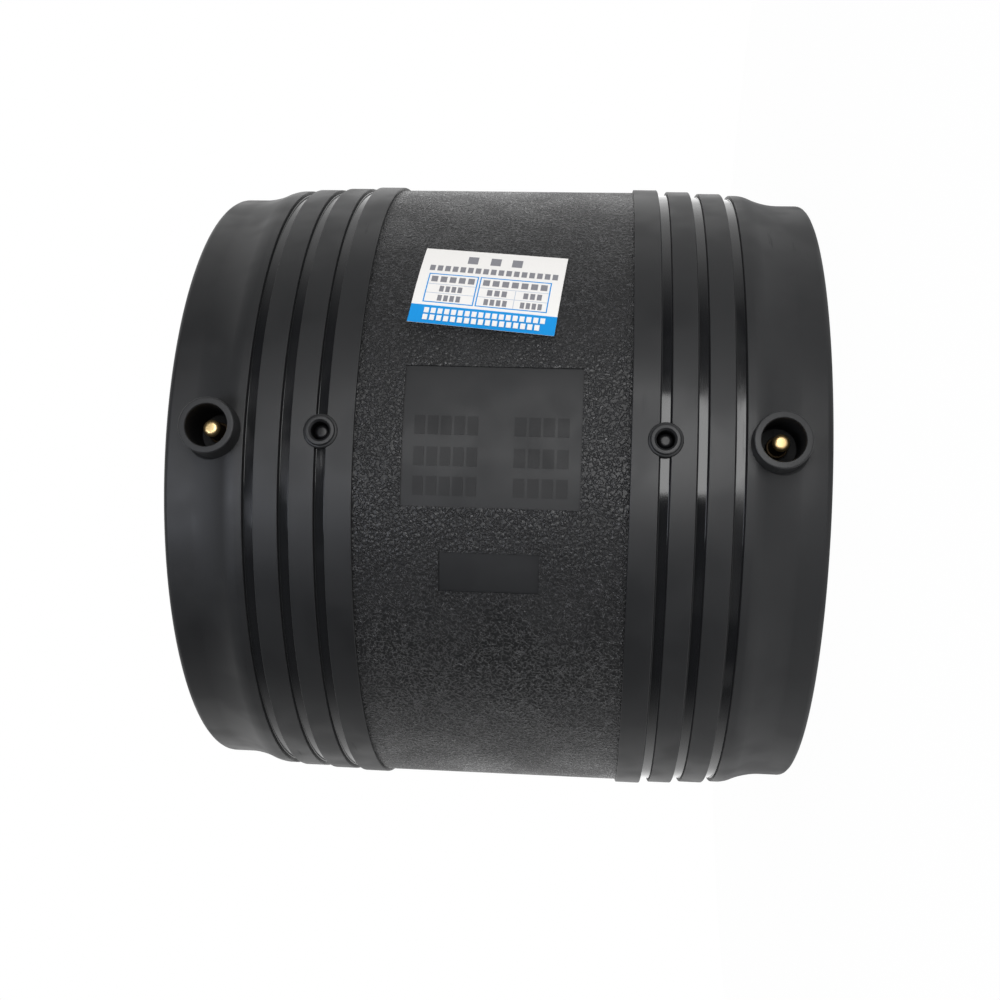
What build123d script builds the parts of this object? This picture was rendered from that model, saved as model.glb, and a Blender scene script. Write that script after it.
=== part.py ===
from build123d import *
import os

os.makedirs("parts", exist_ok=True)

# A polyethylene electrofusion coupler that joins two 160 mm pipes end to end.
# It stands on its lower mouth with its axis on Z, and its two terminals face minus Y.
# All sizes are in millimetres. Distances "from the middle" run along the axis.

# Overall sizes
length = 184.0
bore_d = 161.2
mouth_chamfer = 1.5
end_chamfer = 2.0

# Outside of the barrel, from the middle out to the mouths, with its walls measured from the bore
band_wall = 18.3
band_half = 37.6
first_ridge_height = 0.9
ridge_drop = 0.5
shoulder_at = 72.6
slope_length = 6.4
end_wall = 14.6

# Grooves at each side, between the band and the shoulder
groove_count = 3
groove_pitch = 10.1
first_groove_at = 46.8
groove_width = 3.2
groove_floor = 2.2
groove_depth = 1.7

# Heating coil: a covered wire wound through both sockets as one sleeve, flush with the bore
coil_wall = 1.3
coil_half = 66.0
lead_width = 1.6
lead_depth = 2.4
lead_overlap = 2.0

# Terminals: a shroud moulded on the barrel, with a brass pin in it
terminal_at = 77.2
shroud_height = 9.8
shroud_d = 15.6
shroud_bore_d = 11.6
shroud_depth = 15.6
shroud_root_d = 17.4
shroud_root_height = 2.0
pin_d = 4.7
pin_below_rim = 4.5
pin_tip_chamfer = 1.1
pin_root_d = 6.0
pin_collar_height = 2.6

# Fusion indicators: a well with a collar on the first groove, and a peg over the coil
well_height = 1.2
well_d = 8.2
well_root_d = 9.6
well_root_height = 1.2
well_bore_d = 5.0
peg_d = 4.4
peg_below_rim = 2.6
peg_gap_to_coil = 1.2

# Recessed plates moulded into the front of the band, by angle from the front
plate_depth = 0.5
plate_half_width = 24.5
plate_low_angle = -11.4
plate_high_angle = 11.4
date_plate_half_width = 13.8
date_plate_low_angle = -25.1
date_plate_high_angle = -18.6

# Label stuck on the band beside the larger plate, its upper end turned away from the plate
label_width = 41.5
label_height = 29.2
label_thickness = 0.15
label_angle = 26.4
label_from_middle = 3.4
label_tilt = 5.5

# Sizes that follow from the ones above
middle = length / 2
bore_r = bore_d / 2
band_r = bore_r + band_wall
first_ridge_r = band_r + first_ridge_height
end_r = bore_r + end_wall
lead_top = bore_r + lead_depth
lead_end = terminal_at + pin_root_d / 2
shroud_rim = end_r + shroud_height
shroud_floor = shroud_rim - shroud_depth
shroud_bore_r = shroud_bore_d / 2
pin_tip = shroud_rim - pin_below_rim
well_rim = first_ridge_r + well_height
peg_foot = bore_r + coil_wall + peg_gap_to_coil
peg_tip = well_rim - peg_below_rim
sides = {"lower": -1, "upper": 1}


def turned_on_front(height, outline):
    """Solid turned about a line out of the front, from its (radius, distance from Z) outline."""
    front_plane = Plane(origin=(0, 0, height), x_dir=(0, 0, 1), z_dir=(1, 0, 0))
    with BuildPart() as turned:
        with BuildSketch(front_plane):
            with BuildLine():
                Polyline(*outline, close=True)
            make_face()
        revolve(axis=Axis((0, 0, height), (0, -1, 0)))
    return turned.part


# Heating coil: the winding, with a straight lead from each end of it to a terminal pin
with BuildPart() as heating_coil:
    with BuildSketch(Plane.XY.offset(middle)):
        Circle(bore_r + coil_wall)
        Circle(bore_r, mode=Mode.SUBTRACT)
    extrude(amount=coil_half, both=True)
    lead_length = lead_end - coil_half + lead_overlap
    for side in sides.values():
        lead_middle = middle + side * (lead_end - lead_length / 2)
        with Locations((0, lead_width / 2 - lead_top, lead_middle)):
            Box(lead_width, lead_width, lead_length)
heating_coil.part.label = "heating_coil"

# Terminal pins: a stout root that stands on the lead, then the contact inside the shroud
pins = {}
for name, side in sides.items():
    pin_outline = [
        (0, lead_top),
        (pin_root_d / 2, lead_top),
        (pin_root_d / 2, shroud_floor + pin_collar_height),
        (pin_d / 2, shroud_floor + pin_collar_height),
        (pin_d / 2, pin_tip - pin_tip_chamfer),
        (pin_d / 2 - pin_tip_chamfer, pin_tip),
        (0, pin_tip),
    ]
    pins[name] = turned_on_front(middle + side * terminal_at, pin_outline)
    pins[name].label = f"{name}_terminal_pin"

# Fusion indicator pegs: each stands on the floor of its well, over the coil
pegs = {}
for name, side in sides.items():
    peg_outline = [
        (0, peg_foot),
        (peg_d / 2, peg_foot),
        (peg_d / 2, peg_tip),
        (0, peg_tip),
    ]
    pegs[name] = turned_on_front(middle + side * first_groove_at, peg_outline)
    pegs[name].label = f"{name}_fusion_indicator"

# Outline of the grooves, each between a ridge and the next, lower one
groove_outline = []
for number in range(groove_count):
    groove_at = first_groove_at + number * groove_pitch
    ridge_r = first_ridge_r - number * ridge_drop
    floor_r = ridge_r - groove_depth
    groove_outline += [
        (ridge_r, groove_at - groove_width / 2),
        (floor_r, groove_at - groove_floor / 2),
        (floor_r, groove_at + groove_floor / 2),
        (ridge_r - ridge_drop, groove_at + groove_width / 2),
    ]
last_ridge_r = first_ridge_r - groove_count * ridge_drop

# Coupler body: one moulding of barrel, grooves, shrouds, wells and recessed plates
with BuildPart() as coupler_body:
    side_plane = Plane(origin=(0, 0, middle), x_dir=(1, 0, 0), z_dir=(0, -1, 0))
    with BuildSketch(side_plane):
        with BuildLine():
            Polyline(
                (bore_r, 0),
                (band_r, 0),
                (band_r, band_half),
                (first_ridge_r, band_half),
                *groove_outline,
                (last_ridge_r, shoulder_at),
                (end_r, shoulder_at + slope_length),
                (end_r, middle - end_chamfer),
                (end_r - end_chamfer, middle),
                (bore_r + mouth_chamfer, middle),
                (bore_r, middle - mouth_chamfer),
                close=True,
            )
        make_face()
        mirror(about=Plane.XZ)
    revolve(axis=Axis.Z)

    # Recessed plates in the front of the band
    plates = [
        (plate_half_width, plate_low_angle, plate_high_angle),
        (date_plate_half_width, date_plate_low_angle, date_plate_high_angle),
    ]
    for half_width, low_angle, high_angle in plates:
        start, span = low_angle - 90, high_angle - low_angle
        with BuildSketch(Plane.XY.offset(middle)):
            with BuildLine():
                plate_floor = CenterArc((0, 0), band_r - plate_depth, start, span)
                plate_top = CenterArc((0, 0), band_r + plate_depth, start, span)
                Line(plate_floor @ 0, plate_top @ 0)
                Line(plate_floor @ 1, plate_top @ 1)
            make_face()
        extrude(amount=half_width, both=True, mode=Mode.SUBTRACT)

    for name, side in sides.items():
        # Shroud round the terminal, with a flared root
        shroud_outline = [
            (0, shroud_floor),
            (shroud_root_d / 2, shroud_floor),
            (shroud_root_d / 2, end_r),
            (shroud_d / 2, end_r + shroud_root_height),
            (shroud_d / 2, shroud_rim),
            (0, shroud_rim),
        ]
        shroud_hollow = [
            (0, shroud_floor),
            (shroud_bore_r, shroud_floor),
            (shroud_bore_r, shroud_rim),
            (0, shroud_rim),
        ]
        terminal_height = middle + side * terminal_at
        add(turned_on_front(terminal_height, shroud_outline))
        add(turned_on_front(terminal_height, shroud_hollow), mode=Mode.SUBTRACT)
        add(pins[name], mode=Mode.SUBTRACT)

        # Collar of the indicator's well, which stops the groove on both sides
        well_outline = [
            (0, peg_foot),
            (well_root_d / 2, peg_foot),
            (well_root_d / 2, well_rim - well_root_height),
            (well_d / 2, well_rim),
            (0, well_rim),
        ]
        well_hollow = [
            (0, peg_foot),
            (well_bore_d / 2, peg_foot),
            (well_bore_d / 2, well_rim),
            (0, well_rim),
        ]
        well_height = middle + side * first_groove_at
        add(turned_on_front(well_height, well_outline))
        add(turned_on_front(well_height, well_hollow), mode=Mode.SUBTRACT)
    add(heating_coil.part, mode=Mode.SUBTRACT)
coupler_body.part.label = "coupler_body"

# Label: a thin sheet that follows the band
label_z = middle + label_from_middle
label_plane = Plane(origin=(0, 0, label_z), x_dir=(0, 0, 1), z_dir=(0, -1, 0))
with BuildPart() as label:
    with BuildSketch(Plane.XY.offset(label_z)):
        Circle(band_r + label_thickness)
        Circle(band_r, mode=Mode.SUBTRACT)
    extrude(amount=label_width, both=True)
    with BuildSketch(label_plane.rotated((0, 0, label_angle))):
        Rectangle(label_width, label_height, rotation=-label_tilt)
    extrude(amount=band_r + label_height, mode=Mode.INTERSECT)
label.part.label = "label"

finished = [coupler_body.part, heating_coil.part, label.part, *pins.values(), *pegs.values()]
for piece in finished:
    export_step(piece, f"parts/{piece.label}.step")
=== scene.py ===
"""Looks of the electrofusion coupler: its moulding, winding, contacts, pegs and label."""

import logging
import math
from collections.abc import Callable, Iterator
from contextlib import contextmanager
from dataclasses import dataclass
from enum import Enum
from functools import cached_property

import bmesh
import bpy
from bpy.types import Material, Node, NodeSocket, NodeTree, Object
from mathutils import Euler, Matrix, Vector


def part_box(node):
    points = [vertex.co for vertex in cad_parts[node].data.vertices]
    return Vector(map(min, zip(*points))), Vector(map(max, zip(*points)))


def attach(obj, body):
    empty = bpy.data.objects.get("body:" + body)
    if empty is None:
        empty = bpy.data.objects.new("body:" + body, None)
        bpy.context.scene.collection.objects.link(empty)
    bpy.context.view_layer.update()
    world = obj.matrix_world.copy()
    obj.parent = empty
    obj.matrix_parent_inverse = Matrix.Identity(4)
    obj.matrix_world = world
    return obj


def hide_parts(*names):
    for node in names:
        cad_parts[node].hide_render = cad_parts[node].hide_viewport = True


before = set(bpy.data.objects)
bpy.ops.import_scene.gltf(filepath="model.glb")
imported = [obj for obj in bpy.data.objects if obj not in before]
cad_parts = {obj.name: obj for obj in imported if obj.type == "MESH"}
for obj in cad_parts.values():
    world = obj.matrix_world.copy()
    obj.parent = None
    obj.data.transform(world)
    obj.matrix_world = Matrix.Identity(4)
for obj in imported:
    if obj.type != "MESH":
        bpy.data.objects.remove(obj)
bpy.ops.object.select_all(action="DESELECT")
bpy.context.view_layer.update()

LOG = logging.getLogger("coupler")
MM = 0.001
FULL_TURN = 2 * math.pi
BODY = "root"
SAME_PLACE = 1e-6
SIDES = ("lower", "upper")

Pair = tuple[float, float]
Triple = tuple[float, float, float]
Test = Callable[[Vector, Vector], bool]


class Kind(Enum):
    """The kind of mesh element that a selection picks."""

    CORNERS = "VERT"
    FACES = "FACE"


class Join(Enum):
    """How one closed mesh is combined with another."""

    ADD = "UNION"
    CUT = "DIFFERENCE"


@dataclass(frozen=True)
class Corner:
    """One corner of a turned outline, in millimetres.

    A corner with a rounding is replaced by a curve that starts that far from it.
    """

    radius: float
    height: float
    rounding: float = 0.0
    steps: int = 3

    @property
    def place(self) -> Vector:
        """Place in the plane of the outline, in metres."""
        return Vector((self.radius, 0, self.height)) * MM

    def mirrored(self) -> "Corner":
        """The same corner on the other side of height zero."""
        return Corner(self.radius, -self.height, self.rounding, self.steps)


def choose(*pieces: Object) -> None:
    """Selects some objects and nothing else, and makes the first one active.

    Args:
        pieces: Objects to select.
    """
    bpy.ops.object.select_all(action="DESELECT")
    for piece in pieces:
        piece.select_set(True)
    bpy.context.view_layer.objects.active = pieces[0]


def named(piece: Object, name: str) -> Object:
    """Names an object and its mesh, and hands the object back."""
    piece.name = piece.data.name = name
    return piece


@contextmanager
def editing(piece: Object) -> Iterator[None]:
    """Holds a piece in edit mode.

    Args:
        piece: Object to edit.

    Yields:
        Nothing; the piece is in edit mode until the block ends.
    """
    choose(piece)
    bpy.ops.object.mode_set(mode="EDIT")
    try:
        yield
    finally:
        bpy.ops.object.mode_set(mode="OBJECT")


def pick(piece: Object, kind: Kind, test: Test) -> int:
    """Selects the elements of the edited piece that pass a test, and nothing else.

    Args:
        piece: Object in edit mode.
        kind: Kind of element to select.
        test: Takes the place, in millimetres, and the normal of an element.

    Returns:
        Number of selected elements.
    """
    bpy.ops.mesh.select_mode(type=kind.value)
    bpy.ops.mesh.select_all(action="DESELECT")
    mesh = bmesh.from_edit_mesh(piece.data)
    if kind is Kind.CORNERS:
        elements = [(corner, corner.co) for corner in mesh.verts]
    else:
        elements = [(face, face.calc_center_median()) for face in mesh.faces]
    picked = [element for element, place in elements if test(place / MM, element.normal)]
    for element in picked:
        element.select_set(True)
    mesh.select_flush_mode()
    bmesh.update_edit_mesh(piece.data)
    return len(picked)


def tidy_mesh() -> None:
    """Merges doubled corners of the edited piece and turns its faces outwards."""
    bpy.ops.mesh.select_all(action="SELECT")
    bpy.ops.mesh.remove_doubles(threshold=SAME_PLACE)
    bpy.ops.mesh.normals_make_consistent(inside=False)


def trace(piece: Object, outline: list[Corner], closed: bool) -> None:
    """Turns the edited plane into a wire outline with its corners rounded.

    Args:
        piece: Object in edit mode, with nothing but its first plane.
        outline: Corners in order.
        closed: Whether the last corner is joined to the first.
    """
    bpy.ops.mesh.select_mode(type=Kind.CORNERS.value)
    bpy.ops.mesh.select_all(action="SELECT")
    bpy.ops.mesh.merge(type="CENTER")
    bpy.ops.transform.translate(value=outline[0].place)
    ring = outline + outline[:1] if closed else outline
    for here, there in zip(ring, ring[1:]):
        step = {"value": there.place - here.place}
        bpy.ops.mesh.extrude_region_move(TRANSFORM_OT_translate=step)
    bpy.ops.mesh.select_all(action="SELECT")
    bpy.ops.mesh.remove_doubles(threshold=SAME_PLACE)
    for rounding, steps in sorted({(c.rounding, c.steps) for c in outline if c.rounding}):
        places = [c.place for c in outline if (c.rounding, c.steps) == (rounding, steps)]
        pick(
            piece,
            Kind.CORNERS,
            lambda at, _: any((at * MM - place).length < SAME_PLACE * 5 for place in places),
        )
        bpy.ops.mesh.bevel(offset=rounding * MM, segments=steps, affect="VERTICES")


def turned(
    name: str, outline: list[Corner], steps: int, span: float = FULL_TURN, closed: bool = False
) -> Object:
    """Spins an outline about the Z axis.

    Args:
        name: Name of the new piece.
        outline: Corners of the outline, open where it ends on the axis.
        steps: Number of facets round the turn.
        span: Angle of the turn.
        closed: Whether the outline is a ring.

    Returns:
        The new object, a closed mesh.
    """
    bpy.ops.object.select_all(action="DESELECT")
    bpy.ops.mesh.primitive_plane_add(size=MM)
    piece = named(bpy.context.active_object, name)
    with editing(piece):
        trace(piece, outline, closed)
        bpy.ops.mesh.select_all(action="SELECT")
        bpy.ops.mesh.spin(steps=steps, angle=span, center=(0, 0, 0), axis=(0, 0, 1))
        tidy_mesh()
        if span < FULL_TURN:
            bpy.ops.mesh.fill_holes(sides=0)
            tidy_mesh()
    return piece


def settle(piece: Object, move: Vector | Triple = (0, 0, 0), turn: Triple = (0, 0, 0)) -> None:
    """Turns and moves a piece, and bakes its place into its mesh.

    Args:
        piece: Object that sits at the origin.
        move: Move after the turn, in metres.
        turn: Turn about X, Y and Z.
    """
    choose(piece)
    piece.rotation_euler = turn
    piece.location = move
    bpy.ops.object.transform_apply(location=True, rotation=True, scale=True)


def copied(piece: Object, move: Vector | Triple, turn: Triple = (0, 0, 0)) -> Object:
    """Copies a piece with a mesh of its own, and turns and moves the copy.

    Args:
        piece: Object that sits at the origin.
        move: Move of the copy after its turn, in metres.
        turn: Turn of the copy about X, Y and Z.

    Returns:
        The copy.
    """
    choose(piece)
    bpy.ops.object.duplicate(linked=False)
    copy = bpy.context.active_object
    settle(copy, move, turn)
    return copy


def on_front(piece: Object, heights: list[float]) -> list[Object]:
    """Lays a piece turned about Z along lines out of the front, with a copy for each further line.

    Args:
        piece: Object whose outline gave distances from the axis as heights.
        heights: Heights of the lines, in metres.

    Returns:
        The piece and its copies, in the order of the heights.
    """
    first = heights[0]
    settle(piece, (0, 0, first), (math.pi / 2, 0, 0))
    return [piece, *(copied(piece, (0, 0, height - first)) for height in heights[1:])]


def merged(name: str, pieces: list[Object]) -> Object:
    """Joins several objects into one.

    Args:
        name: Name of the joined piece.
        pieces: Objects to join.

    Returns:
        The joined object.
    """
    choose(*pieces)
    if len(pieces) > 1:
        bpy.ops.object.join()
    return named(pieces[0], name)


def apply_modifier(piece: Object, kind: str, **settings: object) -> None:
    """Adds a modifier with its settings and applies it at once.

    Args:
        piece: Object to change.
        kind: Blender's name of the modifier.
        settings: Values of the modifier's properties.
    """
    choose(piece)
    modifier = piece.modifiers.new(kind.lower(), kind)
    for key, value in settings.items():
        setattr(modifier, key, value)
    bpy.ops.object.modifier_apply(modifier=modifier.name)


def combine(piece: Object, tool: Object, how: Join) -> None:
    """Adds a closed mesh to a piece or cuts it out, and removes the tool."""
    apply_modifier(piece, "BOOLEAN", object=tool, operation=how.value, solver="MANIFOLD")
    bpy.data.objects.remove(tool)


def smooth(piece: Object, degrees: float = 32.0) -> None:
    """Shades a piece smooth, with sharp edges where its faces meet at a larger angle.

    Args:
        piece: Object to shade.
        degrees: Smallest angle of a sharp edge.
    """
    choose(piece)
    bpy.ops.object.shade_smooth_by_angle(angle=math.radians(degrees))
    apply_modifier(piece, "WEIGHTED_NORMAL", mode="FACE_AREA_WITH_ANGLE", keep_sharp=True)


def give_finish(piece: Object, material: Material, test: Test | None = None) -> None:
    """Gives a material to a whole piece, or to the faces that pass a test.

    Args:
        piece: Object to dress.
        material: Material to give.
        test: Takes the place, in millimetres, and the normal of a face.
    """
    if test is None:
        piece.data.materials.clear()
        piece.data.materials.append(material)
        return
    piece.data.materials.append(material)
    piece.active_material_index = len(piece.data.materials) - 1
    with editing(piece):
        picked = pick(piece, Kind.FACES, test)
        bpy.ops.object.material_slot_assign()
    LOG.info("%s: %d faces of %s", piece.name, picked, material.name)


def ride(piece: Object, slot: str, *nodes: str) -> None:
    """Makes a piece part of the object.

    Args:
        piece: Finished piece.
        slot: Not used.
        nodes: Solids that the piece stands for.
    """
    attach(piece, BODY)
    if nodes:
        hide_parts(*nodes)
    LOG.info("%s: %d faces, for %s", piece.name, len(piece.data.polygons), nodes)


def heights_of(*nodes: str) -> list[float]:
    """Where the middles of some solids are along the axis, in metres."""
    boxes = [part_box(node) for node in nodes]
    return [(low.z + high.z) / 2 for low, high in boxes]


def reach_of(node: str) -> Pair:
    """How far the foot and the tip of a solid are out of the axis, in millimetres."""
    low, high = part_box(node)
    return -high.y / MM, -low.y / MM


def ride_pair(piece: Object, kind: str, ending: str, slot: str) -> None:
    """Copies a dressed piece to both sides and makes both part of the object.

    Args:
        piece: Piece turned about Z, with distances from the barrel's axis as heights.
        kind: What the names of both solids say after their side.
        ending: What the names of the pieces add to those of the solids.
        slot: Passed on to ride.
    """
    nodes = [f"{side}_{kind}" for side in SIDES]
    for copy, node in zip(on_front(piece, heights_of(*nodes)), nodes):
        ride(named(copy, f"{node}_{ending}"), slot, node)


class Graph:
    """Short ways to add and link nodes in a shader tree."""

    def __init__(self, tree: NodeTree) -> None:
        """Keeps the tree."""
        self.tree = tree

    def add(self, kind: str, **settings: object) -> Node:
        """Adds a node and sets its properties.

        Args:
            kind: Blender's name of the node type.
            settings: Values of the node's own properties.

        Returns:
            The new node.
        """
        node = self.tree.nodes.new(kind)
        for key, value in settings.items():
            setattr(node, key, value)
        return node

    def feed(self, node: Node, inputs: dict[int | str, object]) -> None:
        """Links output sockets to inputs of a node, and sets others to numbers and colours.

        Args:
            node: Node to feed.
            inputs: Output sockets, numbers, places and colours for the inputs.
        """
        for key, value in inputs.items():
            target = node.inputs[key]
            if isinstance(value, NodeSocket):
                self.tree.links.new(value, target)
            else:
                target.default_value = (*value, 1) if target.type == "RGBA" else value

    def made(
        self, kind: str, output: int | str, inputs: dict[int | str, object], **settings: object
    ) -> NodeSocket:
        """Adds a node and feeds it.

        Args:
            kind: Blender's name of the node type.
            output: Which of its outputs is wanted.
            inputs: What its inputs take.
            settings: Values of the node's own properties.

        Returns:
            The wanted output.
        """
        node = self.add(kind, **settings)
        self.feed(node, inputs)
        return node.outputs[output]

    def maths(self, operation: str, *values: object) -> NodeSocket:
        """Adds a math node that takes numbers and output sockets."""
        return self.made("ShaderNodeMath", 0, dict(enumerate(values)), operation=operation)

    def ramp(
        self, value: NodeSocket, low: float, high: float, to_low: float = 0.0, to_high: float = 1.0
    ) -> NodeSocket:
        """Maps a value smoothly from the range that is read, low to high, to another."""
        inputs = dict(enumerate((value, low, high, to_low, to_high)))
        return self.made("ShaderNodeMapRange", 0, inputs, interpolation_type="SMOOTHSTEP")

    def blend(
        self, factor: NodeSocket, first: Triple | NodeSocket, second: Triple | NodeSocket
    ) -> NodeSocket:
        """Mixes two colours, the first at a factor of 0 and the second at 1."""
        return self.made("ShaderNodeMix", 2, {0: factor, 6: first, 7: second}, data_type="RGBA")

    def noise(
        self, vector: NodeSocket, scale: float | NodeSocket, detail: float, roughness: float
    ) -> NodeSocket:
        """Adds a noise texture, with its number of octaves and the strength of the finer ones."""
        inputs = {"Vector": vector, "Scale": scale, "Detail": detail, "Roughness": roughness}
        return self.made("ShaderNodeTexNoise", 0, inputs)

    def bump(self, height: NodeSocket, depth: float, under: NodeSocket | None = None) -> NodeSocket:
        """Adds a bump with a depth in millimetres, on top of another normal if there is one."""
        normal = {"Normal": under} if under else {}
        return self.made("ShaderNodeBump", 0, {"Height": height, "Distance": depth * MM, **normal})

    def mixed(self, share: NodeSocket, first: NodeSocket, second: NodeSocket) -> NodeSocket:
        """Mixes two shaders by the share of the second."""
        return self.made("ShaderNodeMixShader", 0, {0: share, 1: first, 2: second})


class Effect:
    """A shader node group that several materials share."""

    def __init__(self, name: str, inputs: dict[str, float], outputs: list[str]) -> None:
        """Makes an empty group with its sockets.

        Args:
            name: Name of the group.
            inputs: Names and usual values of the inputs.
            outputs: Names of the outputs.
        """
        self.group = bpy.data.node_groups.new(name, "ShaderNodeTree")
        sockets = self.group.interface
        for key, value in inputs.items():
            socket = sockets.new_socket(key, in_out="INPUT", socket_type="NodeSocketFloat")
            socket.default_value = value
        for key in outputs:
            sockets.new_socket(key, in_out="OUTPUT", socket_type="NodeSocketFloat")
        self.graph = Graph(self.group)
        self.given = self.graph.add("NodeGroupInput").outputs
        self.result = self.graph.add("NodeGroupOutput")
        self.place = self.graph.add("ShaderNodeTexCoord").outputs["Object"]

    def put(self, name: str, value: NodeSocket) -> None:
        """Links a value to one of the group's outputs."""
        self.graph.feed(self.result, {name: value})

    def use(self, graph: Graph, **values: float) -> Node:
        """Places the group in a material.

        Args:
            graph: Tree of the material.
            values: Input values, with underscores for spaces in their names.

        Returns:
            The group's node.
        """
        node = graph.add("ShaderNodeGroup", node_tree=self.group)
        for key, value in values.items():
            node.inputs[key.replace("_", " ")].default_value = value
        return node


def per_metre(size_mm: float) -> float:
    """Noise scale at which a feature is about a size in millimetres."""
    return 1 / (size_mm * MM)


def leather_grain() -> Effect:
    """Builds the bold etched grain: short worm-like ridges with narrow valleys.

    Returns:
        An effect with a height and a mask of the valleys.
    """
    effect = Effect("leather_grain", {"Ridge Size": 1.15}, ["Height", "Valley"])
    graph = effect.graph
    scale = graph.maths("DIVIDE", 1 / MM, effect.given["Ridge Size"])
    bends = graph.noise(effect.place, scale, 1.0, 0.5)
    ridges = graph.maths("ABSOLUTE", graph.maths("SUBTRACT", bends, 0.5))
    lines = graph.ramp(ridges, 0.0, 0.085, 1.0, 0.0)
    cells = {"Vector": effect.place, "Scale": scale, "Smoothness": 0.35}
    pebbles = graph.made("ShaderNodeTexVoronoi", "Distance", cells, feature="SMOOTH_F1")
    rounds = graph.ramp(pebbles, 0.1, 0.75, 1.0, 0.0)
    height = graph.maths("MULTIPLY_ADD", rounds, 0.35, lines)
    effect.put("Height", height)
    effect.put("Valley", graph.ramp(height, 0.25, 1.0, 1.0, 0.0))
    return effect


def moulded_skin() -> Effect:
    """Builds the fine texture of moulded polyethylene: satin grit and slow waves.

    Returns:
        An effect with a height and a value that varies the gloss.
    """
    effect = Effect("moulded_skin", {"Grit Size": 0.35}, ["Height", "Gloss"])
    graph = effect.graph
    scale = graph.maths("DIVIDE", 1 / MM, effect.given["Grit Size"])
    waves = graph.noise(effect.place, per_metre(18.0), 2.0, 0.5)
    effect.put("Height", graph.noise(effect.place, scale, 2.0, 0.6))
    effect.put("Gloss", graph.ramp(waves, 0.3, 0.7))
    return effect


def handling_marks() -> Effect:
    """Builds faint marks of handling: rub haze and thin scuffs round the barrel.

    Returns:
        An effect with a mask of the haze and one of the scuffs.
    """
    effect = Effect("handling_marks", {"Amount": 1.0}, ["Haze", "Scuff"])
    graph = effect.graph
    haze = graph.ramp(graph.noise(effect.place, per_metre(30.0), 4.0, 0.65), 0.5, 0.75)
    drawn_out = {"Vector": effect.place, "Scale": (1.0, 1.0, 14.0)}
    stretched = graph.made("ShaderNodeMapping", 0, drawn_out)
    streaks = graph.noise(stretched, per_metre(26.0), 3.0, 0.7)
    scuff = graph.maths("MULTIPLY", graph.ramp(streaks, 0.62, 0.7), haze)
    for name, mask in (("Haze", haze), ("Scuff", scuff)):
        effect.put(name, graph.maths("MULTIPLY", mask, effect.given["Amount"]))
    return effect


@dataclass(frozen=True)
class Effects:
    """The shared effects that the finishes draw on."""

    grain: Effect
    skin: Effect
    marks: Effect


@dataclass(frozen=True)
class Finish:
    """What every finish has: a name, and a way to dress the shader of its material."""

    name: str

    def dress(self, graph: Graph, shader: Node, effects: Effects) -> None:
        """Dresses the shader; each finish has its own way."""
        raise NotImplementedError

    def material(self, effects: Effects) -> Material:
        """Builds the material.

        Args:
            effects: Shared node groups.

        Returns:
            The finished material.
        """
        material = bpy.data.materials.new(self.name)
        material.use_nodes = True
        graph = Graph(material.node_tree)
        self.dress(graph, material.node_tree.nodes["Principled BSDF"], effects)
        return material


@dataclass(frozen=True)
class BlackPlastic(Finish):
    """Carbon-black polyethylene with a satin, polished or grained surface."""

    roughness: float = 0.5
    gloss_range: float = 0.05
    colour: Triple = (0.0062, 0.0065, 0.0072)
    haze_colour: Triple = (0.0095, 0.0098, 0.0105)
    # Painted highlight: a lighter colour for the ridges of the grain.
    ridge_highlight_colour: Triple = (0.02, 0.02, 0.0215)
    grit_depth: float = 0.006
    grain_depth: float = 0.0
    marks: float = 1.0
    specular: float = 0.5
    dulling: float = 0.2

    def dress(self, graph: Graph, shader: Node, effects: Effects) -> None:
        """Dresses the shader with the moulded skin, handling marks and any grain, with a painted
        highlight on the ridges of the grain.

        Args:
            graph: Tree of the material.
            shader: Its shader.
            effects: Shared node groups.
        """
        skin = effects.skin.use(graph)
        marks = effects.marks.use(graph, Amount=self.marks)
        colour = graph.blend(marks.outputs["Haze"], self.colour, self.haze_colour)
        low, high = self.roughness - self.gloss_range, self.roughness + self.gloss_range
        waves = graph.ramp(skin.outputs["Gloss"], 0.0, 1.0, low, high)
        rough = graph.maths("MULTIPLY_ADD", marks.outputs["Scuff"], self.dulling, waves)
        bold = None
        if self.grain_depth:
            grain = effects.grain.use(graph).outputs
            # Painted highlight: the grain's ridges are coloured lighter than its darker valleys.
            colour = graph.blend(grain["Valley"], self.ridge_highlight_colour, colour)
            rough = graph.maths("MULTIPLY_ADD", grain["Valley"], self.dulling, rough)
            bold = graph.bump(grain["Height"], self.grain_depth)
        fine = graph.bump(skin.outputs["Height"], self.grit_depth, bold)
        looks = {"Base Color": colour, "Roughness": rough, "Normal": fine}
        graph.feed(shader, {**looks, "Specular IOR Level": self.specular})


@dataclass(frozen=True)
class TurnedMetal(Finish):
    """Bare metal with fine turning lines and a slightly uneven polish."""

    colour: Triple
    worn_colour: Triple
    roughness: float
    smoother: float = 0.06
    rougher: float = 0.08
    grit_size: float = 0.12
    grit_depth: float = 0.004

    def dress(self, graph: Graph, shader: Node, effects: Effects) -> None:
        """Dresses the shader with fine lines and rub haze.

        Args:
            graph: Tree of the material.
            shader: Its shader.
            effects: Shared node groups.
        """
        lines = effects.skin.use(graph, Grit_Size=self.grit_size).outputs["Height"]
        haze = effects.marks.use(graph).outputs["Haze"]
        low, high = self.roughness - self.smoother, self.roughness + self.rougher
        looks = {
            "Metallic": 1.0,
            "Base Color": graph.blend(haze, self.colour, self.worn_colour),
            "Roughness": graph.ramp(lines, 0.3, 0.7, low, high),
            "Normal": graph.bump(lines, self.grit_depth),
        }
        graph.feed(shader, looks)


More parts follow.
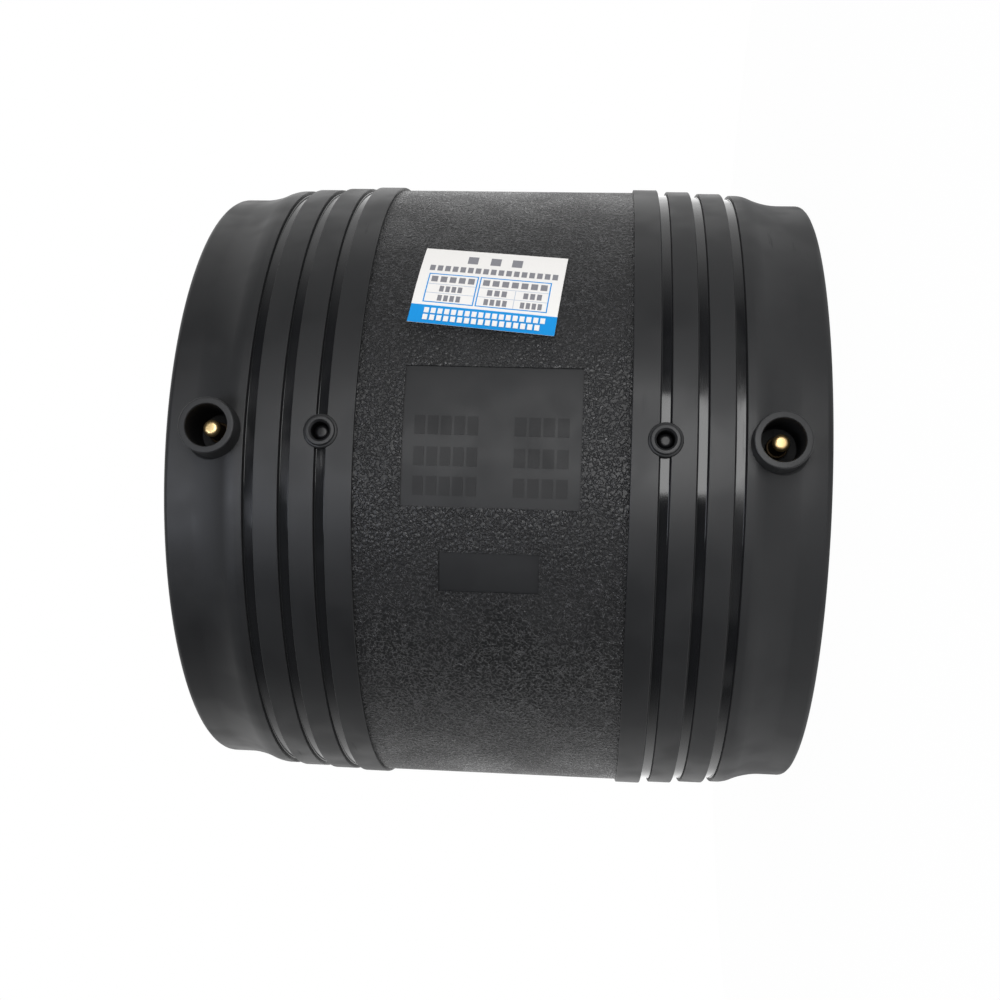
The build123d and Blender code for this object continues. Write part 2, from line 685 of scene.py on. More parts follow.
@dataclass(frozen=True)
class PrintedPaper(Finish):
    """Coated paper or the ink on it, with faint fibres."""

    colour: Triple
    shaded_colour: Triple
    roughness: float = 0.42
    gloss_range: float = 0.08
    specular: float = 0.25
    fibre_size: float = 0.5
    fibre_depth: float = 0.008

    def dress(self, graph: Graph, shader: Node, effects: Effects) -> None:
        """Dresses the shader with the fibres.

        Args:
            graph: Tree of the material.
            shader: Its shader.
            effects: Shared node groups.
        """
        fibres = effects.skin.use(graph, Grit_Size=self.fibre_size).outputs["Height"]
        low, high = self.roughness - self.gloss_range, self.roughness + self.gloss_range
        looks = {
            "Specular IOR Level": self.specular,
            "Base Color": graph.blend(fibres, self.shaded_colour, self.colour),
            "Roughness": graph.ramp(fibres, 0.0, 1.0, low, high),
            "Normal": graph.bump(fibres, self.fibre_depth),
        }
        graph.feed(shader, looks)


@dataclass
class Moulding:
    """The one-piece black moulding, with sizes in millimetres.

    Heights along the axis are measured from the middle of the barrel.
    """

    effects: Effects
    bore_r: float = 80.6
    coil_r: float = 81.9
    coil_half: float = 66.0
    band_r: float = 98.9
    band_half: float = 37.6
    first_ridge_r: float = 99.8
    ridge_drop: float = 0.5
    groove_count: int = 3
    first_groove_at: float = 46.8
    groove_pitch: float = 10.1
    groove_width: float = 3.2
    groove_floor: float = 2.7
    groove_depth: float = 1.7
    groove_rounding: float = 0.2
    shoulder_at: float = 72.6
    slope_length: float = 6.4
    shoulder_rounding: float = 2.0
    slope_rounding: float = 5.0
    end_r: float = 95.2
    end_rounding: float = 1.8
    mouth_chamfer: float = 1.5
    facets: int = 400
    least_steps: int = 4

    shroud_rim: float = 105.0
    shroud_floor: float = 89.4
    shroud_r: float = 7.8
    shroud_root_r: float = 8.7
    shroud_bore_r: float = 5.8
    shroud_mouth: float = 0.25
    flare: float = 0.6
    flare_below: float = 0.7
    flare_above: float = 0.9
    well_rim: float = 101.0
    well_floor: float = 83.1
    well_r: float = 4.1
    well_root_r: float = 4.8
    well_bore_r: float = 2.5
    well_mouth: float = 0.6
    well_root_below: float = 0.9
    well_top_below: float = 0.75
    inside_wall: float = 90.0
    tool_above: float = 1.0
    small_facets: int = 72

    plate_depth: float = 0.5
    plate_half: float = 24.5
    plate_angles: Pair = (-11.4, 11.4)
    pad_height: float = 0.16
    pad_root: float = 1.0
    pad_gap: float = 0.8
    pad_angles: Triple = (1.6, -3.4, -8.1)
    pad_half_angle: float = 1.5
    pad_rows: tuple[tuple[float, float, int], ...] = ((-21.4, -5.8, 4), (3.4, 21.6, 5))
    small_plate_half: float = 13.8
    small_plate_angles: Pair = (-25.1, -18.6)

    def groove_radius(self, number: int) -> float:
        """Radius of a groove's floor, in millimetres."""
        return self.first_ridge_r - number * self.ridge_drop - self.groove_depth

    def groove_place(self, number: int) -> float:
        """Height of a groove above the middle, in millimetres."""
        return self.first_groove_at + number * self.groove_pitch

    @cached_property
    def middle(self) -> float:
        """Height of the middle of the barrel, in metres."""
        return heights_of("coupler_body")[0]

    @cached_property
    def terminal_heights(self) -> list[float]:
        """Heights of the two terminals, in metres."""
        return heights_of(*(f"{side}_terminal_pin" for side in SIDES))

    @cached_property
    def indicator_heights(self) -> list[float]:
        """Heights of the two fusion indicators, in metres."""
        return heights_of(*(f"{side}_fusion_indicator" for side in SIDES))

    def half_outline(self) -> list[Corner]:
        """Draws the upper half of the barrel, from the band round the mouth to the bore.

        Returns:
            The corners of the outline, in order.
        """
        soft = self.groove_rounding
        corners = [
            Corner(self.band_r, self.band_half),
            Corner(self.first_ridge_r, self.band_half, 0.3),
        ]
        for number in range(self.groove_count):
            at = self.groove_place(number)
            floor_r = self.groove_radius(number)
            ridge_r = floor_r + self.groove_depth
            corners += [
                Corner(ridge_r, at - self.groove_width / 2, soft),
                Corner(floor_r, at - self.groove_floor / 2, soft),
                Corner(floor_r, at + self.groove_floor / 2, soft),
                Corner(ridge_r - self.ridge_drop, at + self.groove_width / 2, soft),
            ]
        last_ridge_r = self.first_ridge_r - self.groove_count * self.ridge_drop
        mouth_at = self.middle / MM
        corners += [
            Corner(last_ridge_r, self.shoulder_at, self.shoulder_rounding, 5),
            Corner(self.end_r, self.shoulder_at + self.slope_length, self.slope_rounding, 6),
            Corner(self.end_r, mouth_at, self.end_rounding, 5),
            Corner(self.bore_r + self.mouth_chamfer, mouth_at, 0.4),
            Corner(self.bore_r, mouth_at - self.mouth_chamfer, 0.4),
            Corner(self.bore_r, self.coil_half),
            Corner(self.coil_r, self.coil_half),
        ]
        return corners

    def barrel(self) -> Object:
        """Spins the barrel with its ridges, grooves, shoulders and bore.

        Returns:
            The barrel, in its place.
        """
        half = self.half_outline()
        outline = half + [corner.mirrored() for corner in reversed(half)]
        piece = turned("coupler_moulding", outline, self.facets, closed=True)
        settle(piece, (0, 0, self.middle))
        return piece

    def front_pair(self, outline: list[Corner], heights: list[float]) -> list[Object]:
        """Turns a tool and lays it and its copy along two lines out of the front."""
        return on_front(turned("tool", outline, self.small_facets), heights)

    def bosses(self) -> Object:
        """Builds the shrouds and the wells' collars, still filled.

        Returns:
            All of them as one tool.
        """
        shroud = [
            Corner(0, self.inside_wall),
            Corner(self.shroud_root_r + self.flare, self.inside_wall),
            Corner(self.shroud_root_r + self.flare, self.end_r - self.flare_below),
            Corner(self.shroud_r, self.end_r + self.flare_above, 1.1, 5),
            Corner(self.shroud_r, self.shroud_rim, 0.5, 4),
            Corner(0, self.shroud_rim),
        ]
        collar = [
            Corner(0, self.inside_wall),
            Corner(self.well_root_r, self.inside_wall),
            Corner(self.well_root_r, self.well_rim - self.well_root_below, 0.4, 4),
            Corner(self.well_r, self.well_rim - self.well_top_below, 0.15),
            Corner(self.well_r, self.well_rim, 0.35, 4),
            Corner(0, self.well_rim),
        ]
        shrouds = self.front_pair(shroud, self.terminal_heights)
        return merged("bosses", shrouds + self.front_pair(collar, self.indicator_heights))

    def hollows(self) -> Object:
        """Builds the hollows of the shrouds and wells and the recesses of the plates.

        Returns:
            All of them as one tool.
        """
        above = self.tool_above
        shroud = [
            Corner(0, self.shroud_floor),
            Corner(self.shroud_bore_r, self.shroud_floor, 0.5),
            Corner(self.shroud_bore_r, self.shroud_rim - self.shroud_mouth, 0.2),
            Corner(self.shroud_bore_r + above, self.shroud_rim + above - self.shroud_mouth),
            Corner(0, self.shroud_rim + above - self.shroud_mouth),
        ]
        well = [
            Corner(0, self.well_floor),
            Corner(self.well_bore_r, self.well_floor),
            Corner(self.well_bore_r, self.well_rim - self.well_mouth, 0.15),
            Corner(self.well_bore_r + above, self.well_rim + above - self.well_mouth, 0.1),
            Corner(self.well_bore_r + above, self.well_rim + above),
            Corner(0, self.well_rim + above),
        ]
        radii = (self.band_r - self.plate_depth, self.band_r + self.plate_depth)
        plates = [
            (self.plate_half, self.plate_angles),
            (self.small_plate_half, self.small_plate_angles),
        ]
        recesses = [self.slab(radii, (-half, half), angles) for half, angles in plates]
        shrouds = self.front_pair(shroud, self.terminal_heights)
        wells = self.front_pair(well, self.indicator_heights)
        return merged("hollows", shrouds + wells + recesses)

    def slab(self, radii: Pair, heights: Pair, angles: Pair) -> Object:
        """Builds a curved slab at the front of the barrel, as a tool.

        Args:
            radii: Its inner and outer radius, in millimetres.
            heights: Its ends along the axis from the middle, in millimetres.
            angles: Lowest and highest angle from the front, in degrees.

        Returns:
            The tool.
        """
        (inner, outer), (bottom, top) = radii, heights
        places = [(inner, bottom), (outer, bottom), (outer, top), (inner, top)]
        outline = [Corner(radius, height) for radius, height in places]
        low, high = (math.radians(angle) for angle in angles)
        steps = max(self.least_steps, round((high - low) / FULL_TURN * self.facets))
        tool = turned("slab", outline, steps, span=high - low, closed=True)
        from_front = math.radians(-90) + low
        spun_backwards = min(corner.co.y for corner in tool.data.vertices) < -SAME_PLACE
        if spun_backwards:
            from_front += high - low
        settle(tool, (0, 0, self.middle), (0, 0, from_front))
        return tool

    def pads(self) -> Object:
        """Builds the rows of low blank pads on the larger plate.

        Returns:
            All the pads as one tool.
        """
        floor_r = self.band_r - self.plate_depth
        radii = (floor_r - self.pad_root, floor_r + self.pad_height)
        span = (-self.pad_half_angle, self.pad_half_angle)
        margin = self.pad_gap / 2
        tools = []
        for start, end, count in self.pad_rows:
            pitch = (end - start) / count
            pad = self.slab(radii, (start + margin, start + pitch - margin), span)
            tools += [
                copied(pad, (0, 0, pitch * number * MM), (0, 0, math.radians(angle)))
                for angle in self.pad_angles
                for number in range(count)
            ]
            bpy.data.objects.remove(pad)
        return merged("pads", tools)

    def over_floor(self, at: Vector) -> float:
        """How far a place is above the floors of the plates, in millimetres."""
        return math.hypot(at.x, at.y) - self.band_r + self.plate_depth

    def out(self, at: Vector) -> float:
        """How far a place is from the middle along the axis, in millimetres."""
        return abs(at.z - self.middle / MM)

    def is_plate(self, at: Vector, normal: Vector) -> bool:
        """Whether a face is the floor of a recessed plate."""
        return self.out(at) < self.band_half and abs(self.over_floor(at)) < 0.25 and normal.y < 0

    def is_pad(self, at: Vector, normal: Vector) -> bool:
        """Whether a face is the top of a pad on the larger plate."""
        near_top = abs(self.over_floor(at) - self.pad_height) < 0.04
        return near_top and self.out(at) < self.plate_half and normal.y < -0.9

    def is_grained(self, at: Vector, _: Vector) -> bool:
        """Whether a face is on the grained band."""
        return self.out(at) < self.band_half and abs(self.over_floor(at) - self.plate_depth) < 0.1

    def is_groove_floor(self, at: Vector, _: Vector) -> bool:
        """Tells whether a face is the floor of a groove.

        Args:
            at: Middle of the face, in millimetres.

        Returns:
            Whether it is.
        """
        radius = math.hypot(at.x, at.y)
        return any(
            abs(self.out(at) - self.groove_place(number)) < self.groove_floor / 2 + 0.1
            and abs(radius - self.groove_radius(number)) < 0.12
            for number in range(self.groove_count)
        )

    def is_hollow(self, at: Vector, _: Vector) -> bool:
        """Tells whether a face is inside a shroud or a well.

        Args:
            at: Middle of the face, in millimetres.

        Returns:
            Whether it is.
        """
        shroud = (self.shroud_bore_r, self.shroud_floor - 0.5, self.shroud_rim - 0.4)
        well = (self.well_bore_r, self.well_floor - 0.5, self.well_rim - 0.7)
        return any(
            math.hypot(at.x, at.z - height / MM) < bore_r + 0.02 and floor < -at.y < rim
            for heights, (bore_r, floor, rim) in (
                (self.terminal_heights, shroud),
                (self.indicator_heights, well),
            )
            for height in heights
        )

    def is_bore(self, at: Vector, _: Vector) -> bool:
        """Whether a face is part of the bore."""
        return math.hypot(at.x, at.y) < self.coil_r + 0.2

    def build(self) -> None:
        """Builds and dresses the moulding."""
        piece = self.barrel()
        combine(piece, self.bosses(), Join.ADD)
        combine(piece, self.hollows(), Join.CUT)
        combine(piece, self.pads(), Join.ADD)
        smooth(piece)
        satin = BlackPlastic("satin_polyethylene")
        grained = BlackPlastic(
            "grained_polyethylene",
            roughness=0.3,
            colour=(0.004, 0.0041, 0.0045),
            grain_depth=0.38,
            specular=0.54,
        )
        polished = BlackPlastic(
            "polished_groove", roughness=0.16, gloss_range=0.07, grit_depth=0.003, specular=0.44
        )
        plate = BlackPlastic("plate_polyethylene", roughness=0.54, grit_depth=0.004, specular=0.42)
        pad = BlackPlastic(
            "pad_polyethylene", roughness=0.6, colour=(0.005, 0.005, 0.0055), specular=0.38
        )
        bore = BlackPlastic("bore_polyethylene", roughness=0.34, grit_depth=0.003)
        # Painted shade: the faces inside the shrouds and wells get a darker black than the rest of
        # the moulding.
        shaded_hollow = BlackPlastic(
            "shaded_hollow_polyethylene", roughness=0.62, colour=(0.003, 0.003, 0.0033), specular=0.25
        )
        for finish, test in (
            (satin, None),
            (grained, self.is_grained),
            (polished, self.is_groove_floor),
            (plate, self.is_plate),
            (pad, self.is_pad),
            (bore, self.is_bore),
            (shaded_hollow, self.is_hollow),
        ):
            give_finish(piece, finish.material(self.effects), test)
        ride(piece, "black_polyethylene", "coupler_body")


@dataclass
class Contacts:
    """The two brass pins in the shrouds, with sizes in millimetres."""

    effects: Effects
    root_r: float = 3.0
    pin_r: float = 2.35
    collar_at: float = 92.0
    tip_rounding: float = 1.35
    # Length of the tip that keeps the bright brass; below it the brass is painted in shade.
    lit_tip_length: float = 2.3
    facets: int = 48

    def build(self) -> None:
        """Builds and dresses one pin and copies it into the other shroud."""
        foot, tip = reach_of("lower_terminal_pin")
        outline = [
            Corner(0, foot),
            Corner(self.root_r, foot, 0.3),
            Corner(self.root_r, self.collar_at, 0.3),
            Corner(self.pin_r, self.collar_at, 0.15),
            Corner(self.pin_r, tip, self.tip_rounding, 8),
            Corner(0, tip),
        ]
        pin = turned("contact", outline, self.facets)
        smooth(pin)
        brass = TurnedMetal("terminal_brass", (0.78, 0.58, 0.29), (0.68, 0.48, 0.23), 0.38)
        # Painted shade: below its lit tip, deep in the shroud, the pin gets a nearly black brass.
        shaded_brass = TurnedMetal("brass_in_painted_shade", (0.05, 0.035, 0.02), (0.03, 0.02, 0.012), 0.6)
        shade_below = tip - self.lit_tip_length
        give_finish(pin, brass.material(self.effects))
        give_finish(pin, shaded_brass.material(self.effects), lambda at, _: at.z < shade_below)
        ride_pair(pin, "terminal_pin", "brass", "terminal_brass")


@dataclass
class Indicators:
    """The two pegs in the wells, with sizes in millimetres."""

    effects: Effects
    peg_r: float = 2.2
    tip_rounding: float = 1.3
    facets: int = 40

    def build(self) -> None:
        """Builds and dresses one peg and copies it into the other well."""
        foot, tip = reach_of("lower_fusion_indicator")
        outline = [
            Corner(0, foot),
            Corner(self.peg_r, foot, 0.2),
            Corner(self.peg_r, tip, self.tip_rounding, 7),
            Corner(0, tip),
        ]
        peg = turned("peg", outline, self.facets)
        smooth(peg)
        plastic = BlackPlastic(
            "indicator_polyethylene",
            roughness=0.38,
            colour=(0.004, 0.004, 0.0045),
            grit_depth=0.01,
            specular=0.3,
        )
        give_finish(peg, plastic.material(self.effects))
        ride_pair(peg, "fusion_indicator", "peg", "indicator_polyethylene")


@dataclass
class Winding:
    """The covered resistance wire in the bore, with sizes in millimetres."""

    effects: Effects
    outer_r: float = 81.9
    cover_r: float = 81.0
    flush_r: float = 80.6
    half: float = 66.0
    wire_r: float = 0.5
    wire_sides: int = 8
    zone_inner: float = 22.0
    zone_outer: float = 65.0
    close_turns: int = 11
    wide_turns: int = 2
    facets: int = 120

    @cached_property
    def middle(self) -> float:
        """Height of the middle of the winding, in metres."""
        return heights_of("heating_coil")[0]

    def cover(self) -> None:
        """Builds the sleeve that the turns lie in."""
        outline = [
            Corner(self.cover_r, -self.half),
            Corner(self.outer_r, -self.half),
            Corner(self.outer_r, self.half),
            Corner(self.cover_r, self.half),
        ]
        piece = turned("coil_cover", outline, 3 * self.facets, closed=True)
        settle(piece, (0, 0, self.middle))
        smooth(piece)
        plastic = BlackPlastic("coil_polyethylene", roughness=0.3, grit_depth=0.003)
        give_finish(piece, plastic.material(self.effects))
        ride(piece, "coil_winding", "heating_coil")

    def stretch(self, start: float, end: float, turns: int) -> Object:
        """Winds one stretch of wire.

        Args:
            start: Height of its first turn above the middle, in millimetres.
            end: Height of its last turn.
            turns: Number of whole turns.

        Returns:
            The stretch, open at both ends.
        """
        bpy.ops.object.select_all(action="DESELECT")
        bpy.ops.mesh.primitive_circle_add(vertices=self.wire_sides, radius=self.wire_r * MM)
        piece = bpy.context.active_object
        centre = (0, -(self.flush_r + self.wire_r) * MM, start * MM)
        with editing(piece):
            bpy.ops.mesh.select_all(action="SELECT")
            bpy.ops.transform.rotate(value=math.pi / 2, orient_axis="Y", center_override=(0, 0, 0))
            bpy.ops.transform.translate(value=centre)
        apply_modifier(
            piece,
            "SCREW",
            axis="Z",
            angle=FULL_TURN,
            screw_offset=(end - start) / turns * MM,
            iterations=turns,
            steps=self.facets,
            render_steps=self.facets,
        )
        return piece

    def wire(self) -> None:
        """Builds the wire: close turns in both sockets and wide turns between them."""
        close = self.stretch(-self.zone_outer, -self.zone_inner, self.close_turns)
        wide = self.stretch(-self.zone_inner, self.zone_inner, self.wide_turns)
        other = copied(close, (0, 0, (self.zone_outer + self.zone_inner) * MM))
        piece = merged("coil_wire", [close, wide, other])
        with editing(piece):
            tidy_mesh()
            bpy.ops.mesh.fill_holes(sides=0)
            tidy_mesh()
        settle(piece, (0, 0, self.middle))
        smooth(piece, 60)
        copper = TurnedMetal("winding_copper", (0.72, 0.36, 0.2), (0.42, 0.2, 0.12), 0.34)
        give_finish(piece, copper.material(self.effects))
        ride(piece, "coil_winding", "heating_coil")

    def build(self) -> None:
        """Builds and dresses the winding."""
        self.cover()
        self.wire()


@dataclass(frozen=True)
class Block:
    """One printed rectangle on the label, in shares of its width and height.

    Places run from the end that is turned away from the plates, and down to the blue field.
    """

    across: float
    down: float
    width: float
    height: float


@dataclass
class Sticker:
    """The paper label with its plain printed fields, with sizes in millimetres.

    Where the print lies is given in shares of the label, as for a block.
    """

    effects: Effects
    width: float = 41.5
    height: float = 29.2
    sheet: float = 0.12
    ink: float = 0.02
    angle: float = 26.4
    tilt: float = 5.5
    band_r: float = 98.9
    slices: int = 36
    sliced_share: float = 1.3
    curl_steps: int = 4
    curl_step: float = 1.3
    curl_rise: float = 0.14
    blue_from: float = 0.775
    line: float = 0.008
    tables: tuple[Pair, ...] = ((0.075, 0.415), (0.435, 0.92))
    table_top: float = 0.37
    table_bottom: float = 0.735
    table_rows: Pair = (0.505, 0.62)
    column_at: float = 0.69
    column_height: float = 0.22
    word_share: float = 0.7

    def row(self, start: float, end: float, down: float, count: int, height: float) -> list[Block]:
        """Sets a row of evenly spread blocks, from its start to its end and so far down."""
        pitch = (end - start) / count
        places = (start + pitch * (number + 0.5) for number in range(count))
        return [Block(place, down, pitch * self.word_share, height) for place in places]

    def dark_blocks(self) -> list[Block]:
        """Lists every block of dark ink.

        Returns:
            The title, the line under it and the words in both tables.
        """
        blocks = [Block(place, 0.14, 0.072, 0.105) for place in (0.35, 0.51, 0.66)]
        for start, end, down, count, height in (
            (0.055, 0.965, 0.285, 17, 0.075),
            (0.085, 0.405, 0.437, 5, 0.075),
            (0.445, 0.91, 0.437, 7, 0.075),
            (0.16, 0.33, 0.562, 4, 0.072),
            (0.16, 0.33, 0.678, 4, 0.072),
            (0.49, 0.64, 0.562, 3, 0.072),
            (0.74, 0.88, 0.562, 3, 0.072),
            (0.48, 0.65, 0.678, 4, 0.072),
            (0.73, 0.89, 0.678, 4, 0.072),
        ):
            blocks += self.row(start, end, down, count, height)
        return blocks

    def pale_blocks(self) -> list[Block]:
        """Every block of white on the blue field."""
        return self.row(0.09, 0.93, 0.838, 18, 0.065) + self.row(0.09, 0.90, 0.925, 17, 0.065)

    def blue_fields(self) -> list[Block]:
        """Lists everything that is blue.

        Returns:
            The blue field and the outlines of both tables.
        """
        fields = [Block(0.5, (1 + self.blue_from) / 2, 1.0, 1 - self.blue_from)]
        edges = (self.table_top, self.table_bottom)
        high, down = edges[1] - edges[0], sum(edges) / 2
        stroke = self.line * self.width / self.height
        for left, right in self.tables:
            across, wide = (left + right) / 2, right - left + self.line
            fields += [Block(across, edge, wide, stroke) for edge in edges]
            fields += [Block(edge, down, self.line, high) for edge in (left, right)]
        return fields

    def grey_lines(self) -> list[Block]:
        """Lists the thin lines inside both tables.

        Returns:
            The lines.
        """
        thin = self.line * 0.6
        lines = [
            Block((left + right) / 2, edge, right - left - self.line, thin * 1.4)
            for left, right in self.tables
            for edge in self.table_rows
        ]
        return lines + [Block(self.column_at, self.table_rows[1], thin, self.column_height)]

    def place(self, block: Block) -> Vector:
        """Place of a block's middle on the flat label, in metres."""
        along, across = 0.5 - block.down, 0.5 - block.across
        return Vector((along * self.height, 0, across * self.width)) * MM

    def slab(self, block: Block, bottom: float, thickness: float) -> Object:
        """Adds a block as a thin slab that lies flat, facing the front.

        Args:
            block: Where it lies.
            bottom: Height of its back over the back of the sheet.
            thickness: Thickness of the slab.

        Returns:
            The new object.
        """
        bpy.ops.object.select_all(action="DESELECT")
        bpy.ops.mesh.primitive_cube_add(size=1)
        slab = bpy.context.active_object
        slab.scale = Vector((block.height * self.height, thickness, block.width * self.width)) * MM
        settle(slab, self.place(block) - Vector((0, bottom + thickness / 2, 0)) * MM)
        return slab

    def layer(self, name: str, blocks: list[Block], bottom: float, thickness: float) -> Object:
        """Adds a layer of slabs as one object, with one slab modelled for each size and copied.

        Args:
            name: Name of the layer.
            blocks: Where the slabs lie.
            bottom: Height of their backs over the back of the sheet.
            thickness: Thickness of the slabs.

        Returns:
            The new object.
        """
        slabs = []
        firsts: dict[Pair, tuple[Block, Object]] = {}
        for block in blocks:
            size = (block.width, block.height)
            if size in firsts:
                first, slab = firsts[size]
                slabs.append(copied(slab, self.place(block) - self.place(first)))
            else:
                slabs.append(self.slab(block, bottom, thickness))
                firsts[size] = (block, slabs[-1])
        return merged(name, slabs)

    def lift_edge(self, piece: Object) -> None:
        """Curls the blue edge of the flat label a little off the barrel.

        Args:
            piece: The label, flat in the XZ plane.
        """
        edge = -self.height / 2
        limits = [edge + self.curl_step * (number + 0.5) for number in range(self.curl_steps)]
        with editing(piece):
            for limit in reversed(limits):
                bpy.ops.mesh.select_all(action="SELECT")
                bpy.ops.mesh.bisect(plane_co=(limit * MM, 0, 0), plane_no=(1, 0, 0))
                pick(piece, Kind.CORNERS, lambda at, _: at.x < limit - 0.01)
                bpy.ops.transform.translate(value=(0, -self.curl_rise * MM, 0))

    def bend(self, piece: Object) -> None:
        """Turns the flat label, wraps it round the band and moves it to its place.

        Args:
            piece: The label, flat in the XZ plane with its back at the origin.
        """
        settle(piece, turn=(0, math.radians(self.tilt), 0))
        span = self.height * self.sliced_share * MM
        with editing(piece):
            for number in range(1, self.slices):
                cut = (number / self.slices - 0.5) * span
                bpy.ops.mesh.select_all(action="SELECT")
                bpy.ops.mesh.bisect(plane_co=(cut, 0, 0), plane_no=(1, 0, 0))
        places = [corner.co.x for corner in piece.data.vertices]
        angle = (max(places) - min(places)) / (self.band_r * MM)
        apply_modifier(piece, "SIMPLE_DEFORM", deform_method="BEND", deform_axis="Z", angle=angle)
        settle(piece, (0, -self.band_r * MM, 0))
        settle(piece, (0, 0, heights_of("label")[0]), (0, 0, math.radians(self.angle)))

    def build(self) -> None:
        """Builds and dresses the label."""
        paper = PrintedPaper("label_paper", (0.69, 0.675, 0.65), (0.645, 0.63, 0.61))
        blue = PrintedPaper("label_blue", (0.0005, 0.225, 0.56), (0.0005, 0.205, 0.52), 0.6)
        dark = PrintedPaper("label_dark", (0.15, 0.15, 0.165), (0.21, 0.21, 0.225))
        grey = PrintedPaper("label_grey", (0.35, 0.4, 0.48), (0.42, 0.46, 0.52))
        white = paper.material(self.effects)
        layers = []
        for name, blocks, bottom, thickness, material in (
            ("sheet", [Block(0.5, 0.5, 1, 1)], 0, self.sheet, white),
            ("blue", self.blue_fields(), self.sheet, self.ink, blue.material(self.effects)),
            ("dark", self.dark_blocks(), self.sheet, self.ink, dark.material(self.effects)),
            ("grey", self.grey_lines(), self.sheet, self.ink, grey.material(self.effects)),
            ("pale", self.pale_blocks(), self.sheet + self.ink, self.ink / 2, white),
        ):
            layers.append(self.layer(name, blocks, bottom, thickness))
            give_finish(layers[-1], material)
        piece = merged("label_sheet", layers)
        self.lift_edge(piece)
        self.bend(piece)
        smooth(piece)
        ride(piece, "label_paper", "label")


@dataclass(frozen=True)
class Lamp:
    """A rectangular lamp that faces the barrel.

    Its angles run in degrees to the photograph's right of the line to the camera and up from
    it. Its distance from the barrel and its width and height are in metres. A radiance of 1
    is white.
    """

    name: str
    right: float
    up: float
    distance: float
    size: Pair
    radiance: float
    colour: Triple = (1, 1, 1)


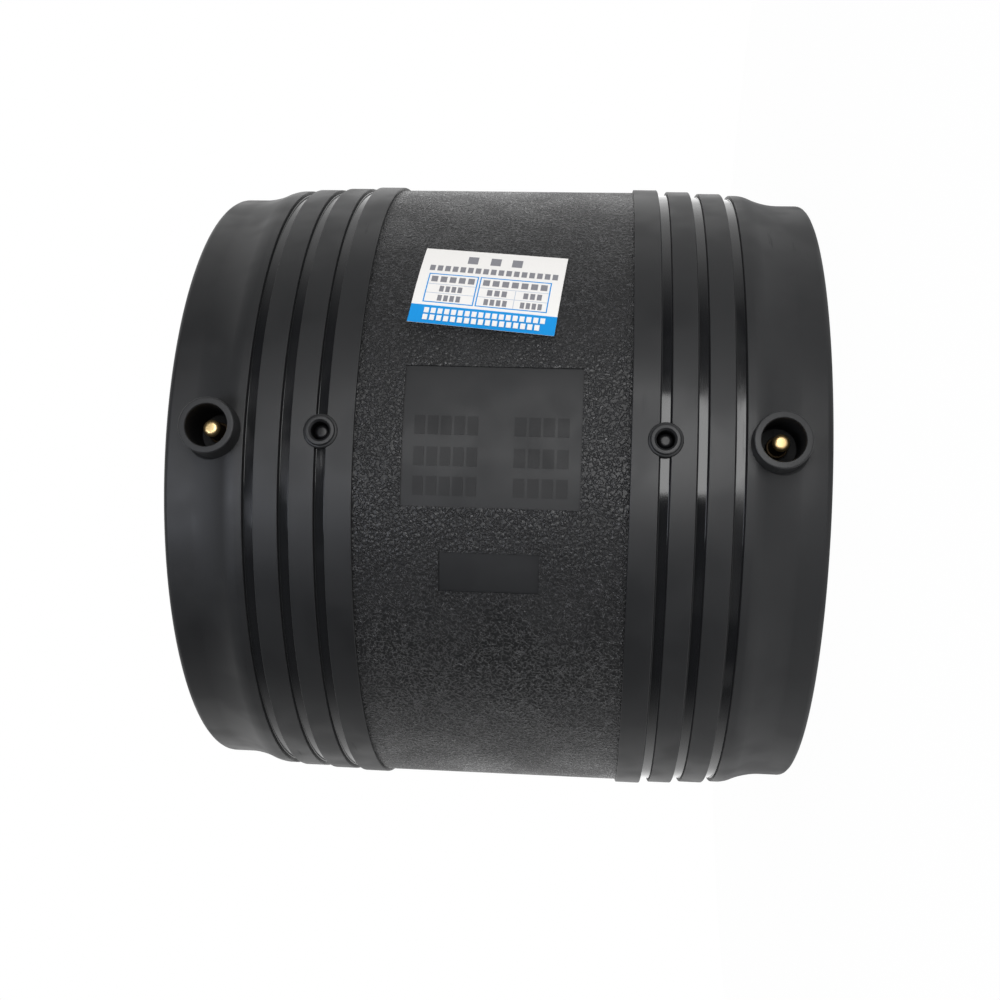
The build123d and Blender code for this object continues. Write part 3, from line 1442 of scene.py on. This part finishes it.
@dataclass
class Studio:
    """Camera, lamps, floor and surroundings."""

    focal_px: float = 1248.85
    image_px: float = 1000.0
    sensor_mm: float = 36.0
    terminal_lift: float = 7.4
    camera_right: float = 29.2
    camera_away: float = 434.9
    camera_turn: Triple = (-0.64, 4.50, 1.66)
    floor_radius: float = 0.26
    floor_facets: int = 128
    floor_roughness: float = 0.8
    floor_specular: float = 0.1
    floor_white: float = 0.975
    floor_mirrored: float = 0.5
    soft_light: float = 0.64
    sky_tilt: float = 0.28
    sky_behind: tuple[float, ...] = (-0.44, 0.46, 0.05, 1.0)
    sky_rim: tuple[float, ...] = (0.6, 1.05, 0.0, 0.65)
    floor_paints: tuple[Triple, Triple] = ((0.92, 0.92, 0.92), (0.96, 0.96, 0.96))
    window: Lamp = Lamp("window", 5, 15, 1.1, (0.5, 0.68), 6.6)
    side_fill: Lamp = Lamp("side_fill", -33, -8, 1.1, (0.5, 0.34), 6.6, (0.86, 0.9, 1.0))

    @cached_property
    def middle(self) -> Vector:
        """The middle of the barrel, in metres."""
        return Vector((0, 0, heights_of("coupler_body")[0]))

    @cached_property
    def axes(self) -> Matrix:
        """Finds how the photograph lies in the shared frame.

        Returns:
            Right, up and towards the camera in the photograph, as columns.
        """
        lift = math.radians(self.terminal_lift)
        right = Vector((0, 0, -1))
        up = Vector((math.cos(lift), -math.sin(lift), 0))
        return Matrix((right, up, right.cross(up))).transposed()

    def stand(self, name: str, data: bpy.types.ID, place: Vector, turn: Matrix) -> Object:
        """Adds a camera or a lamp.

        Args:
            name: Name of the object.
            data: What it is.
            place: Its place from the middle of the barrel, in metres.
            turn: How it is turned.

        Returns:
            The new object.
        """
        piece = bpy.data.objects.new(name, data)
        bpy.context.scene.collection.objects.link(piece)
        piece.matrix_world = Matrix.Translation(self.middle + place) @ turn.to_4x4()
        return piece

    def camera(self) -> None:
        """Adds the camera at the photograph's place."""
        lens = bpy.data.cameras.new("camera")
        lens.sensor_width = self.sensor_mm
        lens.lens = self.focal_px / self.image_px * self.sensor_mm
        lens.clip_start = 0.01
        away = self.axes @ Vector((self.camera_right, 0, self.camera_away)) * MM
        turn = Euler([math.radians(angle) for angle in self.camera_turn]).to_matrix()
        bpy.context.scene.camera = self.stand("camera", lens, away, self.axes @ turn)

    def light(self, lamp: Lamp) -> None:
        """Adds a lamp, level with the photograph.

        Args:
            lamp: Lamp to add.
        """
        data = bpy.data.lights.new(lamp.name, "AREA")
        data.shape = "RECTANGLE"
        data.size, data.size_y = lamp.size
        data.energy = lamp.radiance * math.pi * lamp.size[0] * lamp.size[1]
        data.color = lamp.colour
        side, rise = math.radians(lamp.right), math.radians(lamp.up)
        towards = self.axes @ Vector(
            (math.sin(side) * math.cos(rise), math.sin(rise), math.cos(side) * math.cos(rise))
        )
        across = self.axes.col[1].cross(towards).normalized()
        turn = Matrix((across, towards.cross(across), towards)).transposed()
        self.stand(lamp.name, data, towards * lamp.distance, turn).visible_camera = False

    def background(self, graph: Graph, strength: float | NodeSocket) -> NodeSocket:
        """Adds a background to the tree of the world, white at a strength of 1."""
        return graph.made("ShaderNodeBackground", 0, {"Color": (1, 1, 1), "Strength": strength})

    def surroundings(self) -> None:
        """Makes the world white to the camera, and pale behind the object and dimmer in front."""
        world = bpy.data.worlds.new("studio")
        bpy.context.scene.world = world
        world.use_nodes = True
        world.node_tree.nodes.clear()
        graph = Graph(world.node_tree)
        path = graph.add("ShaderNodeLightPath").outputs
        direction = graph.add("ShaderNodeTexCoord").outputs["Generated"]
        parts = graph.add("ShaderNodeSeparateXYZ")
        graph.feed(parts, {0: direction})
        tilted = graph.maths("MULTIPLY_ADD", parts.outputs["X"], self.sky_tilt, parts.outputs["Y"])
        behind = graph.ramp(tilted, *self.sky_behind)
        rim = graph.ramp(tilted, *self.sky_rim)
        glossy = self.background(graph, graph.maths("ADD", behind, rim))
        soft = self.background(graph, self.soft_light)
        unseen = graph.mixed(path["Is Glossy Ray"], soft, glossy)
        direct = graph.maths("MAXIMUM", path["Is Camera Ray"], path["Is Transmission Ray"])
        seen = graph.mixed(direct, unseen, self.background(graph, 1.0))
        graph.feed(graph.add("ShaderNodeOutputWorld"), {"Surface": seen})

    def floor(self) -> None:
        """Adds a round pale floor, which stays white to the camera and keeps the shadow."""
        bpy.ops.object.select_all(action="DESELECT")
        rim = {"vertices": self.floor_facets, "radius": self.floor_radius}
        bpy.ops.mesh.primitive_circle_add(fill_type="NGON", **rim)
        floor = named(bpy.context.active_object, "floor")
        material = bpy.data.materials.new("pale_floor")
        material.use_nodes = True
        nodes = material.node_tree.nodes
        graph = Graph(material.node_tree)
        shader = nodes["Principled BSDF"]
        place = graph.add("ShaderNodeTexCoord").outputs["Object"]
        clouds = graph.noise(place, 6.0, 2.0, 0.5)
        paint = graph.blend(clouds, *self.floor_paints)
        looks = {"Roughness": self.floor_roughness, "Specular IOR Level": self.floor_specular}
        graph.feed(shader, {"Base Color": paint, **looks})
        white = graph.add("ShaderNodeEmission").outputs[0]
        path = graph.add("ShaderNodeLightPath").outputs
        seen = graph.maths("MULTIPLY", path["Is Camera Ray"], self.floor_white)
        mirrored = graph.maths("MULTIPLY", path["Is Glossy Ray"], self.floor_mirrored)
        share = graph.maths("MAXIMUM", seen, mirrored)
        surface = graph.mixed(share, shader.outputs[0], white)
        graph.feed(nodes["Material Output"], {"Surface": surface})
        floor.data.materials.append(material)

    def build(self) -> None:
        """Sets up the whole studio."""
        bpy.context.scene.view_settings.view_transform = "Standard"
        self.camera()
        self.surroundings()
        self.floor()
        self.light(self.window)
        self.light(self.side_fill)


def main() -> None:
    """Builds the studio and every piece in order."""
    logging.basicConfig(level=logging.INFO, format="%(name)s: %(message)s", force=True)
    Studio().build()
    effects = Effects(leather_grain(), moulded_skin(), handling_marks())
    for maker in (Moulding, Winding, Contacts, Indicators, Sticker):
        maker(effects).build()


if __name__ == "__main__":
    main()
